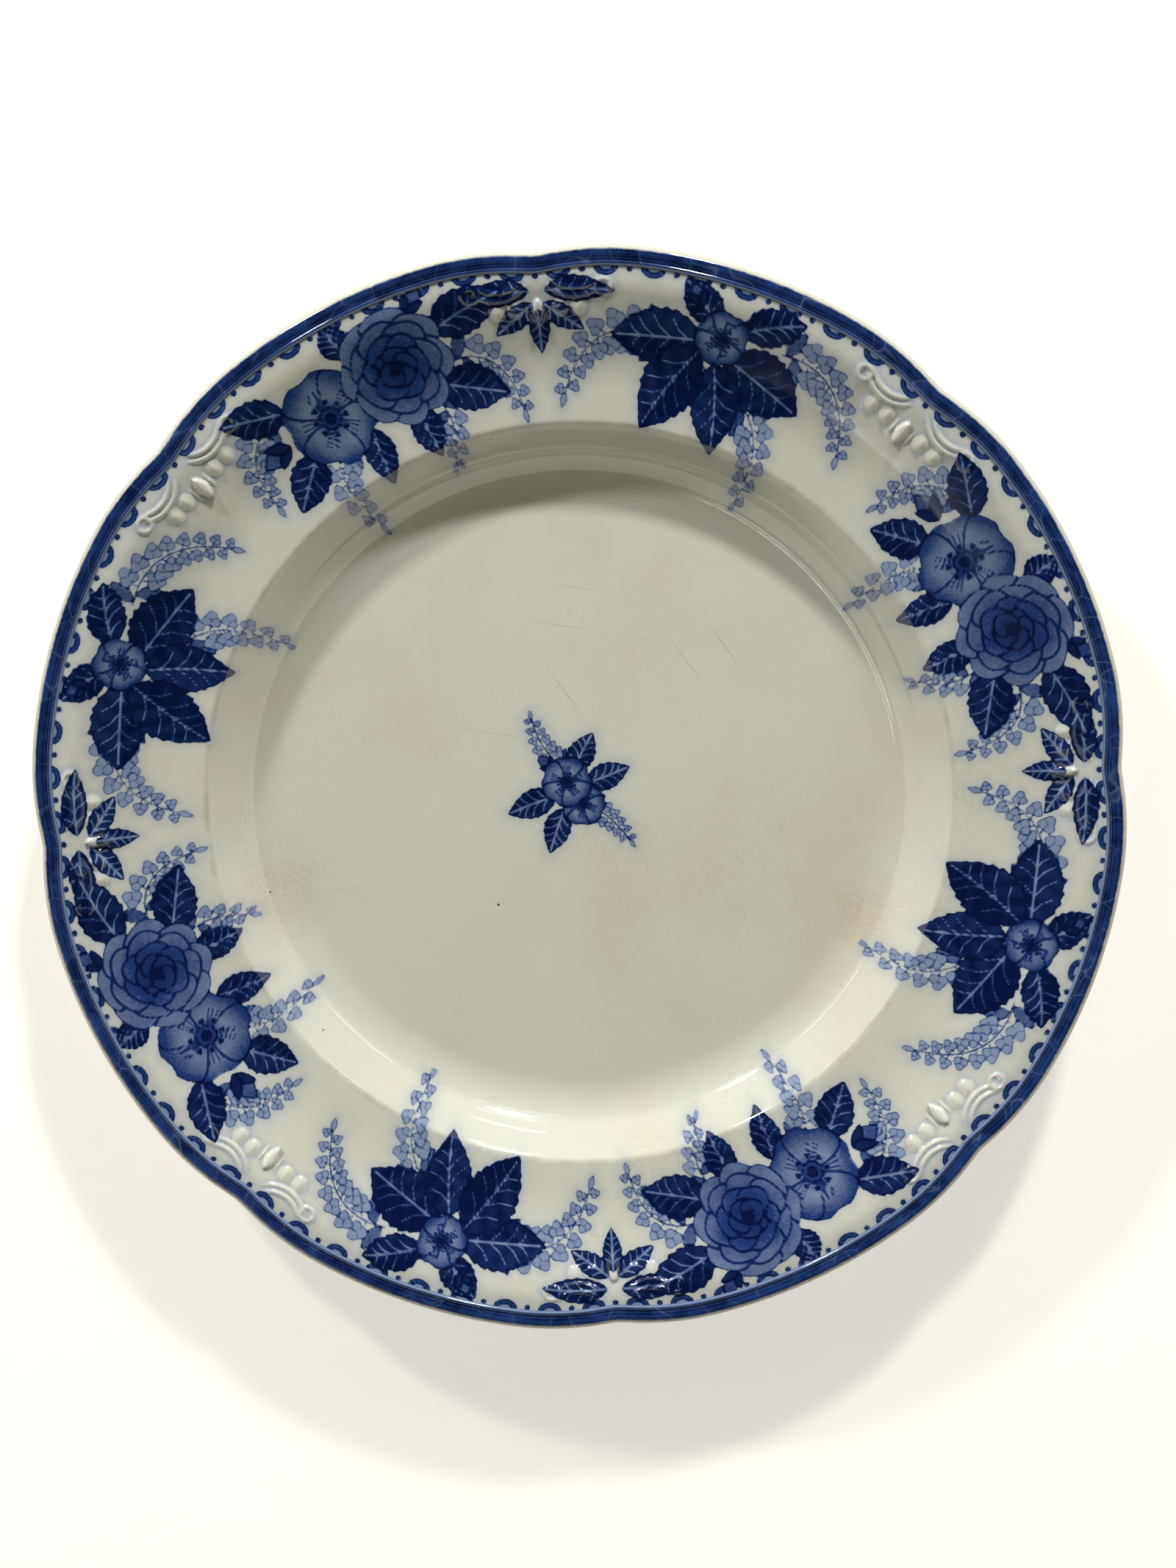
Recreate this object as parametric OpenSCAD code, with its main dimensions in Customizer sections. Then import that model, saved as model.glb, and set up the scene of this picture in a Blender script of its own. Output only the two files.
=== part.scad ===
// Dinner plate with an eight-lobed edge, a deep well and moulded ornaments at
// the notches. Z = 0 is the table, the origin is the centre of the foot ring.

/* [Plate] */
// Diameter across the lobes
plate_d = 260; // [230:1:290]
// Height of the edge above the table
plate_h = 28; // [26:0.5:32]
// Thickness of the rim and of the well's wall
wall_t = 4.2; // [3.4:0.1:4.8]

/* [Well] */
// Height above the table of the crease, where the rim turns down into the well
crease_h = 17.5; // [15:0.5:19]
// Thickness of the floor
floor_t = 4; // [3:0.1:5]
// Slope of the well's wall, in degrees from level
wall_slope = 45; // [40:1:55]
// Radius of the sweep from the floor up into the wall
sweep_r = 15; // [8:0.5:18]
// Radius that rounds the crease
crease_round = 2.5; // [1:0.1:4]

/* [Rim] */
// Width of the rim, from the crease to the edge band
rim_w = 35; // [32:0.5:40]
// Width of the flatter shoulder outside the crease
shoulder_w = 13; // [8:0.5:16]
// Slope of the shoulder, in degrees
shoulder_slope = 8; // [4:0.5:12]
// Radius that blends the shoulder into the rim
shoulder_round = 45; // [20:1:60]
// Width of the nearly level land beside the edge band
land_w = 4; // [3:0.5:6]
// Slope of the land, in degrees
land_slope = 5; // [3:0.5:8]

/* [Lobed edge] */
// Number of lobes, with a notch and an ornament between each two
lobes = 8; // [6:1:10]
// Depth of a notch below the lobes
notch_depth = 2; // [1:0.1:3]
// Angle from a notch to where its arc joins the lobe
notch_spread = 11; // [8:0.5:14]
// Width of the edge band
edge_w = 5; // [4:0.1:6]
// Thickness of the rounded edge
edge_t = 4; // [3:0.1:4.6]
// Rise of the edge's crown above the rim beside it
edge_rise = 0.7; // [0.3:0.1:1.2]
// Radius of the bead along the inner side of the band
bead_r = 0.6; // [0.4:0.05:0.9]

/* [Foot ring] */
// Height of the foot ring
foot_h = 2; // [1.5:0.1:3]
// Width of the foot ring
foot_w = 4.4; // [3:0.1:6]
// Radius that rounds the foot's two lower edges
foot_round = 1; // [0.5:0.1:1.4]
// Ledge between the foot ring and the heel of the wall
heel_w = 1; // [0.5:0.1:2]

/* [Ornaments] */
// Length of the bud on the notch's line
bud_len = 6.4; // [5:0.1:8]
// Width of the bud
bud_w = 3.4; // [2.5:0.1:4.5]
// Height of the bud above the rim
bud_h = 1.1; // [0.8:0.05:1.2]
// Distance from the edge band to the middle of the bud
bud_at = 8.6; // [7.5:0.1:10]
// Radius of the scrolls' outer ribs
scroll_r = 9; // [8:0.1:10]
// Distance between a scroll's two ribs
rib_gap = 1.7; // [1.4:0.1:2.2]
// Radius of a rib's round section
rib_r = 0.6; // [0.4:0.05:0.7]
// Radius of the curl that ends a scroll
curl_r = 1.7; // [1.3:0.1:2]
// Radius of the petals between the scrolls and the bud
petal_r = 2; // [1.5:0.1:2.4]
// Height of the petals above the rim
petal_h = 0.7; // [0.5:0.05:0.9]

/* [Hidden] */
$fn = 48;
// Facets of the large turned faces, where OpenSCAD shows them
round_fn = 720;

glaze = "ivory";
cobalt = "midnightblue";
biscuit = "tan";

lobe_r = plate_d / 2;
notch_r = lobe_r - notch_depth;
pitch = 360 / lobes;
// Points of the outline round one lobe, crowded towards the notches
steps = 24;
crowding = 0.12;

// Upper outline of the section, from the axis outwards
floor_h = foot_h + floor_t;
wall_run = (crease_h - floor_h) / tan(wall_slope);
seat_r = lobe_r - edge_w;
seat_h = plate_h - edge_rise;
crease_r = seat_r - rim_w;
rim_r = crease_r + shoulder_w;
rim_h = crease_h + shoulder_w * tan(shoulder_slope);
land_r = seat_r - land_w;
land_h = seat_h - land_w * tan(land_slope);
rim_slope = atan2(land_h - rim_h, land_r - rim_r);

floor_mid = [0, floor_h];
floor_end = [crease_r - wall_run, floor_h];
crease = [crease_r, crease_h];
rim_start = [rim_r, rim_h];
land_start = [land_r, land_h];

// Lower outline, each line wall_t below its upper one
under_wall = crease_h - wall_t / cos(wall_slope) - crease_r * tan(wall_slope);
under_shoulder = crease_h - wall_t / cos(shoulder_slope) - crease_r * tan(shoulder_slope);
under_rim = rim_h - wall_t / cos(rim_slope) - rim_r * tan(rim_slope);
heel = [(foot_h - under_wall) / tan(wall_slope), foot_h];
under_crease = meet(wall_slope, under_wall, shoulder_slope, under_shoulder);
under_bend = meet(shoulder_slope, under_shoulder, rim_slope, under_rim);
seat_foot = [seat_r, seat_h - edge_t];
under_land = [land_r, under_rim + land_r * tan(rim_slope)];
heel_round = 4;
under_round = 8;

// The section runs on past the seat, and the lobed outline cuts it there
beyond_r = seat_r + 1;
beyond_foot = [beyond_r, land_under(beyond_r)];
beyond_top = [beyond_r, land_top(beyond_r)];

foot_out = heel.x - heel_w;
lip_r = edge_t / 2;
bead_at = bead_r * 1.2;

// Places on the rim, inward from the edge band and round from the notch's line
scroll_in = 5;
scroll_at = 9;
scroll_tip = 10;
curl_in = 2.6;
curl_at = 16;
petal_in = scroll_in + rib_r + petal_r + 0.1;
petal_at = 5.6;
petal_gap = 2 * petal_r + 0.5;
sepal_gap = 0.8;
sepal_arc = 6;
sepal_r = 0.4;

// Where two lines of a given slope and height on the axis cross
function meet(slope_a, height_a, slope_b, height_b) =
    let (r = (height_b - height_a) / (tan(slope_a) - tan(slope_b)))
    [r, height_a + r * tan(slope_a)];

function unit(v) = v / norm(v);

// Centre of the circle of radius r that touches both lines of corner p
function round_centre(a, p, b, r) =
    let (to_a = unit(a - p), to_b = unit(b - p))
    p + unit(to_a + to_b) * r / sin(acos(to_a * to_b) / 2);

// Where that circle touches the line from p towards a
function touch(a, p, b, r) =
    let (to_a = unit(a - p), to_b = unit(b - p))
    p + to_a * r / tan(acos(to_a * to_b) / 2);

// An inner corner built up to the circle's centre, so that the circle cuts it round
function built_up(a, p, b, r) = [touch(a, p, b, r), round_centre(a, p, b, r), touch(b, p, a, r)];

// The sliver outside the circle that rounds an outer corner
module round_off(a, p, b, r) {
    centre = round_centre(a, p, b, r);
    difference() {
        polygon([p + unit(p - centre), touch(a, p, b, r), centre, touch(b, p, a, r)]);
        translate(centre) circle(r);
    }
}

// Height of the rim's upper and lower faces at radius r on the land
function land_top(r) = seat_h + (r - seat_r) * tan(land_slope);
function land_under(r) =
    seat_foot.y + (r - seat_r) * (seat_foot.y - under_land.y) / land_w;

module body_section() {
    difference() {
        polygon(concat(
            [[0, foot_h], heel],
            built_up(heel, under_crease, under_bend, under_round),
            [under_bend, under_land, beyond_foot, beyond_top, land_start],
            built_up(land_start, rim_start, crease, shoulder_round),
            [crease],
            built_up(crease, floor_end, floor_mid, sweep_r),
            [floor_mid]
        ));
        translate(round_centre(heel, under_crease, under_bend, under_round)) circle(under_round);
        translate(round_centre(land_start, rim_start, crease, shoulder_round)) circle(shoulder_round);
        translate(round_centre(crease, floor_end, floor_mid, sweep_r)) circle(sweep_r);
        round_off(floor_end, crease, rim_start, crease_round);
        round_off([0, foot_h], heel, under_crease, heel_round);
    }
}

// Angle of point n of the outline, and the outline's radius at that angle
function turn_at(n) =
    let (part = n / steps)
    pitch * (part - crowding * sin(360 * part));

function edge_r(angle) =
    let (off = pitch / 2 - abs(angle % pitch - pitch / 2))
    lobe_r - notch_depth * max(0, 1 - off / notch_spread) ^ 2;

outline_turns = [for (n = [0 : lobes * steps - 1]) turn_at(n)];

// The lobed outline, drawn in by inset
module lobed_disc(inset) {
    polygon([for (a = outline_turns) (edge_r(a) - inset) * [cos(a), sin(a)]]);
}

module plate_body() {
    color(glaze) intersection() {
        rotate_extrude($fn = round_fn) body_section();
        linear_extrude(plate_h) lobed_disc(edge_w);
    }
}

// Section of the foot ring, standing on the table with both lower edges rounded
module foot_section() {
    translate([foot_out - foot_w, 0]) {
        translate([0, foot_round]) square([foot_w, foot_h - foot_round]);
        translate([foot_round, 0]) square([foot_w - 2 * foot_round, foot_h]);
        for (x = [foot_round, foot_w - foot_round]) translate([x, foot_round]) circle(foot_round);
    }
}

module foot_ring() {
    color(biscuit) rotate_extrude($fn = round_fn) foot_section();
}

// Section of the edge band, as steps outward from the seat and up from its top
edge_section = concat(
    [[0, 0]],
    [for (a = [180 : -45 : 0]) [bead_at, 0] + bead_r * [cos(a), sin(a)]],
    [for (a = [90 : -22.5 : -90]) [edge_w - lip_r, edge_rise - lip_r] + lip_r * [cos(a), sin(a)]]
);

// One ring of the band at angle a: the seat's foot, then the section
function edge_ring(a) =
    let (r = edge_r(a) - edge_w, along = [cos(a), sin(a)])
    concat(
        [[r * along.x, r * along.y, land_under(r)]],
        [for (p = edge_section)
            [(r + p.x) * along.x, (r + p.x) * along.y, land_top(r) + p.y]]
    );

// The band is that section swept round the lobes and through the notches
module edge_band() {
    rings = len(outline_turns);
    across = len(edge_section) + 1;
    color(cobalt) polyhedron(
        points = [for (a = outline_turns) each edge_ring(a)],
        faces = [
            for (i = [0 : rings - 1]) for (j = [0 : across - 1])
                let (here = i * across, next = (i + 1) % rings * across, k = (j + 1) % across)
                [here + j, here + k, next + k, next + j]
        ]
    );
}

// Carries its children to a point on the rim beside the notch at angle 0, so
// far inward from the band and so far round, with +X up the rim's slope
module on_rim(inward, along) {
    r = notch_r - edge_w - inward * cos(rim_slope);
    rotate(along / seat_r * 180 / PI)
        translate([r, 0, rim_h + (r - rim_r) * tan(rim_slope)])
            rotate([0, -rim_slope, 0]) children();
}

// What stands above the rim's face, inside the edge band, of a moulding that
// reaches down into the rim
module seated() {
    difference() {
        children();
        rotate_extrude($fn = round_fn) polygon([
            [rim_r, 0], rim_start, land_start, beyond_top,
            [beyond_r, 2 * plate_h], [plate_d, 2 * plate_h], [plate_d, 0]
        ]);
    }
}

// Round ring whose inward side lies on the rim, tipped so that the ring rises
// out of the face and sinks back into it
module ring(r, section_r, tip) {
    rotate([0, tip, 0]) translate([r, 0, 0]) rotate_extrude() translate([r, 0]) circle(section_r);
}

// Flat dome of radius r, petal_h high
module petal(r) {
    ball = (r ^ 2 + petal_h ^ 2) / 2 / petal_h;
    translate([0, 0, petal_h - ball]) sphere(ball);
}

// Pointed bud along X, turned from an arc and sunk to stand bud_h high
module bud() {
    half = bud_w / 2;
    arc = (bud_len ^ 2 / 4 + half ^ 2) / bud_w;
    translate([0, 0, bud_h - half]) rotate([0, 90, 0]) rotate_extrude() intersection() {
        translate([half - arc, 0]) circle(arc);
        translate([0, -bud_len]) square([bud_len, 2 * bud_len]);
    }
}

// Half of an ornament: the sepal beside the bud, a scroll of two ribs that
// ends in a curl, and two petals
module ornament_side() {
    seated() on_rim(bud_at, bud_w / 2 + sepal_gap) rotate([90, 0, 0])
        translate([0, -sepal_arc, 0]) rotate_extrude() translate([sepal_arc, 0]) circle(sepal_r);
    for (step = [0, rib_gap])
        seated() on_rim(scroll_in - step, scroll_at) ring(scroll_r - step, rib_r, scroll_tip);
    seated() on_rim(curl_in, curl_at) translate([-curl_r, 0, 0]) ring(curl_r, rib_r * 0.8, 0);
    for (n = [0, 1])
        seated() on_rim(petal_in, petal_at + n * petal_gap) petal(petal_r);
}

module rim_ornaments() {
    color(glaze) for (i = [0 : lobes - 1]) rotate(i * pitch) {
        seated() on_rim(bud_at, 0) bud();
        for (side = [0, 1]) mirror([0, side]) ornament_side();
    }
}

plate_body();
foot_ring();
edge_band();
rim_ornaments();
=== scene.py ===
import functools
import math
import bpy
import numpy as np
from mathutils import Matrix, Vector
from mathutils.bvhtree import BVHTree


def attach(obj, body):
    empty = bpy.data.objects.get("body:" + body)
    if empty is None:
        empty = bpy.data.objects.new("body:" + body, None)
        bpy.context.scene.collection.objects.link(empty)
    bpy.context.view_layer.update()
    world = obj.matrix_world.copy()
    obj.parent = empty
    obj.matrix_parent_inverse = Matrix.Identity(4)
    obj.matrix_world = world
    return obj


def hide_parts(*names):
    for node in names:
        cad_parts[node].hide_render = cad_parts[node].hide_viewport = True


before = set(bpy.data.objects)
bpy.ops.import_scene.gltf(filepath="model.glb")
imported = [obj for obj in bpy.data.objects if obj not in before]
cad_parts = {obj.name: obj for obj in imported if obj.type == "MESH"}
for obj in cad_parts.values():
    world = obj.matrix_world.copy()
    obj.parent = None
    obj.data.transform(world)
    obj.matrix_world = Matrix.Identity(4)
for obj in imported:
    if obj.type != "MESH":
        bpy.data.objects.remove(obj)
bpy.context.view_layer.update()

mm = 0.001


def added(name, data):
    made = bpy.data.objects.new(name, data)
    bpy.context.collection.objects.link(made)
    return made


# The plate's own measures in mm, as its mould has them
plate = {
    "pathStep": 0.2,  # between points of the face's section
    "lobeRadius": 130.0,
    "lobes": 8,
    "notchDepth": 2.0,
    "notchSpread": 11.0,  # degrees from a notch to where its arcs join the lobe
    "notchSoft": 0.7,  # degrees, how far the glaze rounds the bottom of a notch
    "edgeWidth": 5.0,
    "height": 28.0,  # to the crown of the edge band
    "edgeThick": 4.0,
    "edgeRise": 0.7,
    "bead": 0.6,
    "beadAt": 0.72,  # from the seat to the bead's middle
    "crownCurve": 0.8,
    "floorHeight": 6.0,
    "creaseRadius": 90.0,
    "creaseHeight": 17.5,
    "creaseRound": 2.5,
    "wallSlope": 45.0,
    "turningLine": (84.2, 0.04, 0.35),  # a tool's line on the wall: radius, height, half width
    "sweep": 15.0,
    "shoulderWidth": 13.0,
    "shoulderSlope": 8.0,
    "shoulderRound": 45.0,
    "landWidth": 4.0,
    "landSlope": 5.0,
    "landRound": 12.0,
    "seatRun": 4.0,  # how far the face's line is drawn past the seat
    "wall": 4.2,
    "underRounds": (8.0, 20.0, 8.0, 4.0),  # the same bends on the underside, from outside
    "footHeight": 2.0,
    "footWidth": 4.4,
    "footRound": 1.0,
    "footRun": 1.5,  # how far the underside runs in over the foot ring
    "heel": 1.0,
}
pitch = 360 / plate["lobes"]


def slopeOf(degrees):
    return math.tan(math.radians(degrees))


def edgeRadius(turn):
    # the lobed outline at turn, in degrees from a notch
    off = np.abs((turn + pitch / 2) % pitch - pitch / 2)
    off = np.sqrt(off**2 + plate["notchSoft"] ** 2)
    dip = np.clip(1 - off / plate["notchSpread"], 0, None) ** 2
    return plate["lobeRadius"] - plate["notchDepth"] * dip


def roundedPath(corners, step):
    # lines through corners (r, z, rounding) with arcs at them, as points a step apart
    path = [np.array(corners[0][:2], float)]
    for before, here, after in zip(corners, corners[1:], corners[2:]):
        p = np.array(here[:2])
        a, b = np.array(before[:2]) - p, np.array(after[:2]) - p
        a, b = a / np.linalg.norm(a), b / np.linalg.norm(b)
        half = math.acos(np.clip(a @ b, -1, 1)) / 2
        middle = p + (a + b) / np.linalg.norm(a + b) * here[2] / math.sin(half)
        start = p + a * here[2] / math.tan(half) - middle
        end = p + b * here[2] / math.tan(half) - middle
        swing = math.copysign(math.pi - 2 * half, start[0] * end[1] - start[1] * end[0])
        count = max(2, int(here[2] * abs(swing) / step) + 1)
        for turn in np.linspace(0, swing, count + 1):
            c, s = math.cos(turn), math.sin(turn)
            swung = c * start[0] - s * start[1], s * start[0] + c * start[1]
            path.append(middle + np.array(swung))
    path.append(np.array(corners[-1][:2], float))
    points = [path[0]]
    for p in path[1:]:
        start, gap = points[-1], np.linalg.norm(p - points[-1])
        if gap > 1e-6:
            count = max(1, int(round(gap / step)))
            points += [start + (p - start) * k / count for k in range(1, count + 1)]
    return np.array(points)


shoulderRadius = plate["creaseRadius"] + plate["shoulderWidth"]
shoulderHeight = plate["creaseHeight"] + plate["shoulderWidth"] * slopeOf(plate["shoulderSlope"])
seatRadius = plate["lobeRadius"] - plate["edgeWidth"]
seatHeight = plate["height"] - plate["edgeRise"]
landRadius = seatRadius - plate["landWidth"]
landHeight = seatHeight - plate["landWidth"] * slopeOf(plate["landSlope"])
wallRun = (plate["creaseHeight"] - plate["floorHeight"]) / slopeOf(plate["wallSlope"])
rimSlope = math.atan2(landHeight - shoulderHeight, landRadius - shoulderRadius)
notchSeat = seatRadius - plate["notchDepth"]

facePath = roundedPath([
    (0, plate["floorHeight"]),
    (plate["creaseRadius"] - wallRun, plate["floorHeight"], plate["sweep"]),
    (plate["creaseRadius"], plate["creaseHeight"], plate["creaseRound"]),
    (shoulderRadius, shoulderHeight, plate["shoulderRound"]),
    (landRadius, landHeight, plate["landRound"]),
    (seatRadius + plate["seatRun"], seatHeight + plate["seatRun"] * slopeOf(plate["landSlope"])),
], plate["pathStep"])


def faceHeight(r):
    at, rise, half = plate["turningLine"]
    return np.interp(r, facePath[:, 0], facePath[:, 1]) + rise * np.exp(-(((r - at) / half) ** 2))


# The moulded ornament at a notch, in mm: places are inward from the edge band and along the rim
ornament = {
    "bud": (8.6, 6.4, 3.4, 1.1),  # inward, length, width, height
    "sepal": (8.6, 2.5, 4.5, 0.35, 0.45),  # inward, along, length, half width, height
    "ribs": (5.0, 9.0, 9.0, 1.7, 0.6),  # inward top, along, radius, gap, section radius
    "ribTip": 10.0,  # degrees that a rib's ring is tipped into the rim
    "ribEnd": 0.3,  # how far from the band the ribs end
    "curl": (2.6, 16.0, 1.7, 0.48),  # inward, along, radius, section radius
    "petals": ((7.7, 5.6), (7.7, 10.1)),
    "petalSize": (2.2, 0.6),  # radius, height
    "flutes": (3.5, 0.3, 1.3),  # how close together, how deep, how many radii in they meet
    "soft": 0.8,  # how fast a bud or petal rises from its edge
}


def relief(r, turn):
    # height in mm that the moulding adds to the rim at radius r and turn degrees from +X
    off = (turn + pitch / 2) % pitch - pitch / 2
    inward = (notchSeat - r) / math.cos(rimSlope)
    along = np.abs(np.radians(off)) * seatRadius
    forms = [np.zeros_like(r)]

    inAt, length, width, tall = ornament["bud"]
    t = (inward - inAt) / (length / 2)
    half = width / 2 * np.clip(1 - t**2, 1e-6, None) ** ornament["soft"]
    forms.append(tall * np.sqrt(np.clip(1 - (along / half) ** 2, 0, None)) * (np.abs(t) < 1))

    inAt, alongAt, length, half, tall = ornament["sepal"]
    t = np.clip(1 - ((inward - inAt) / (length / 2)) ** 2, 0, None)
    forms.append(tall * t * np.exp(-(((along - alongAt) / half) ** 2)))

    topAt, alongAt, radius, gap, section = ornament["ribs"]
    tip = math.sin(math.radians(ornament["ribTip"]))
    for ringRadius in (radius, radius - gap):
        x, y = inward - (topAt - radius), along - alongAt
        d = np.hypot(x, y)
        sink = ringRadius * (1 - x / np.maximum(d, 1e-6)) * tip
        rib = np.sqrt(np.clip(section**2 - (d - ringRadius) ** 2, 0, None)) - sink
        forms.append(np.where(inward > ornament["ribEnd"], rib, 0))

    inAt, alongAt, radius, section = ornament["curl"]
    d = np.hypot(inward - inAt, along - alongAt) - radius
    forms.append(np.sqrt(np.clip(section**2 - d**2, 0, None)))

    radius, tall = ornament["petalSize"]
    close, deep, meet = ornament["flutes"]
    for inAt, alongAt in ornament["petals"]:
        x, y = inward - inAt, along - alongAt
        fluted = 1 - deep * np.sin(close * np.arctan2(y, x + meet * radius)) ** 2
        dome = np.clip(1 - (np.hypot(x, y) / radius) ** 2, 0, None) ** ornament["soft"]
        forms.append(fluted * (tall * dome))
    return np.maximum.reduce(forms)


print("sections ready")


# The mesh is rings of points round the plate's axis
grain = {
    "columns": 8 * 168,  # a whole number for each lobe
    "crowding": 0.05,  # how far the columns draw together at the notches
    "fine": 0.45,  # mm between rings where the print is fine
    "finest": 0.33,  # and where the ornaments are moulded
    "coarse": 1.3,
    "band": 0.35,  # across the edge band
    "under": 1.2,  # on the underside
    "recess": 3.0,  # and inside the foot ring
    "posyRadius": 26.0,
    "printFrom": 78.0,
    "beadTurn": 20.0,  # degrees between rings round the bead, the lip and the foot's corners
    "lipTurn": 12.0,
    "footTurn": 15.0,
    "sharp": 74.0,  # degrees from which an edge shows as one
    "poolShadeReach": 3,  # rings and columns over which glaze runs off the moulding, and painted shade spreads beside it
}
perLobe = grain["columns"] // plate["lobes"]
share = np.arange(grain["columns"]) / perLobe
turns = pitch * (share - grain["crowding"] * np.sin(2 * math.pi * share))
edge = edgeRadius(turns)
seat = edge - plate["edgeWidth"]


def steps(start, end, size):
    return np.linspace(start, end, max(2, int(round(abs(end - start) / size))) + 1)


def ringOf(r, z):
    return tuple(np.broadcast_to(values, turns.shape).astype(float) for values in (r, z))


def faceRings():
    # the glazed face, from the middle outward to the seat of the edge band
    rings = []
    for span in (
        (0, grain["posyRadius"], grain["fine"]),
        (grain["posyRadius"], grain["printFrom"], grain["coarse"]),
        (grain["printFrom"], shoulderRadius, grain["fine"]),
    ):
        rings += [ringOf(r, faceHeight(r)) for r in steps(*span)[:-1]]
    # outside the shoulder the rings change from round to lobed
    for part in steps(0, 1, grain["finest"] / (seatRadius - shoulderRadius)):
        r = shoulderRadius + part * (seat - shoulderRadius)
        rings.append(ringOf(r, faceHeight(r)))
    return rings


# The underside's three straight lines, a wall below the face: height on the axis, and slope
lines = [
    (z - plate["wall"] / math.cos(slope) - r * math.tan(slope), math.tan(slope))
    for slope, r, z in (
        (rimSlope, shoulderRadius, shoulderHeight),
        (math.radians(plate["shoulderSlope"]), plate["creaseRadius"], plate["creaseHeight"]),
        (math.radians(plate["wallSlope"]), plate["creaseRadius"], plate["creaseHeight"]),
    )
]
seatFoot = seatHeight - plate["edgeThick"]
underLand = lines[0][0] + lines[0][1] * landRadius
heelRadius = (plate["footHeight"] - lines[2][0]) / lines[2][1]
footOuter = heelRadius - plate["heel"]
footInner = footOuter - plate["footWidth"]


def underHeight(r):
    # height of the underside beside the edge band
    return seatFoot + (r - seatRadius) * (seatFoot - underLand) / plate["landWidth"]


def backRings():
    # the underside, from the seat's foot inward to the middle of the recess
    meets = [(b[0] - a[0]) / (a[1] - b[1]) for a, b in zip(lines, lines[1:])]
    corners = [(landRadius, underLand)]
    corners += [(r, line[0] + line[1] * r) for r, line in zip(meets, lines)]
    corners += [(heelRadius, plate["footHeight"])]
    path = roundedPath([
        (seatRadius, seatFoot),
        *((r, z, bend) for (r, z), bend in zip(corners, plate["underRounds"])),
        (footOuter - plate["footRun"], plate["footHeight"]),
    ], grain["under"])
    rings = []
    for r, z in path:
        lobed = np.clip((r - shoulderRadius) / (seatRadius - shoulderRadius), 0, 1)
        rings.append(ringOf(r + lobed * (edge - plate["lobeRadius"]), z))
    rings[0] = ringOf(seat, underHeight(seat))
    for r in steps(footInner, 0, grain["recess"]):
        rings.append(ringOf(r, plate["footHeight"]))
    return rings


def bandRings():
    # the band round its section: bead, crown, lip and underside, back to the seat's foot
    base = faceHeight(seat)
    lip = plate["edgeThick"] / 2
    crown = plate["edgeWidth"] - lip
    bead, beadAt = plate["bead"], plate["beadAt"]
    rings = [ringOf(seat, base)]
    for a in np.radians(steps(180, grain["beadTurn"], grain["beadTurn"])):
        rings.append(ringOf(seat + beadAt + bead * math.cos(a), base + bead * math.sin(a)))
    start = rings[-1][1][0] - base[0]
    for x in steps(beadAt + bead, crown, grain["band"])[1:]:
        part = ((x - beadAt - bead) / (crown - beadAt - bead)) ** plate["crownCurve"]
        rings.append(ringOf(seat + x, base + (start + (plate["edgeRise"] - start) * part)))
    for a in np.radians(steps(90, -90, grain["lipTurn"])[1:]):
        x, z = crown + lip * math.cos(a), plate["edgeRise"] - lip + lip * math.sin(a)
        rings.append(ringOf(seat + x, base + z))
    start = base + plate["edgeRise"] - plate["edgeThick"]
    for part in (0.5, 1):
        rings.append(ringOf(seat + crown * (1 - part), start + (underHeight(seat) - start) * part))
    return rings


def footRings():
    # the foot ring round its section, from its top outside
    corner, low = plate["footRound"], plate["footHeight"]
    section = [(footOuter, low), (footOuter, (low + corner) / 2)]
    for middle, start in ((footOuter - corner, 0), (footInner + corner, -90)):
        for a in np.radians(steps(start, start - 90, grain["footTurn"])):
            section.append((middle + corner * math.cos(a), corner + corner * math.sin(a)))
    section += [(footInner, (low + corner) / 2), (footInner, low)]
    return [ringOf(r, z) for r, z in section]


# The body's texture map: middle and reach of the disc for its face and of the one for its
# underside, and how far the underside's edge is let out
discs = {"face": (0.402, 0.4), "under": (0.825, 0.165), "letOut": 0.008}


def discPlaces(frontRings):
    def place(k, ring, column, faceColumn, r):
        turn = np.radians(np.append(turns, 360)[column])
        middle, reach = discs["face" if k < frontRings - 1 else "under"]
        reach = reach * r / plate["lobeRadius"]
        if k == ring == frontRings - 1:
            reach = reach + discs["letOut"]
        return middle + reach * np.cos(turn), middle + reach * np.sin(turn)

    return place


def stripPlaces(ringCount):
    # a ring's texture map: one strip for each lobe
    def place(k, ring, column, faceColumn, r):
        row = faceColumn // perLobe
        across = (k if ring == k else k + 1) / ringCount
        return (column - row * perLobe) / perLobe, (row + 0.02 + 0.96 * across) / plate["lobes"]

    return place


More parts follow.
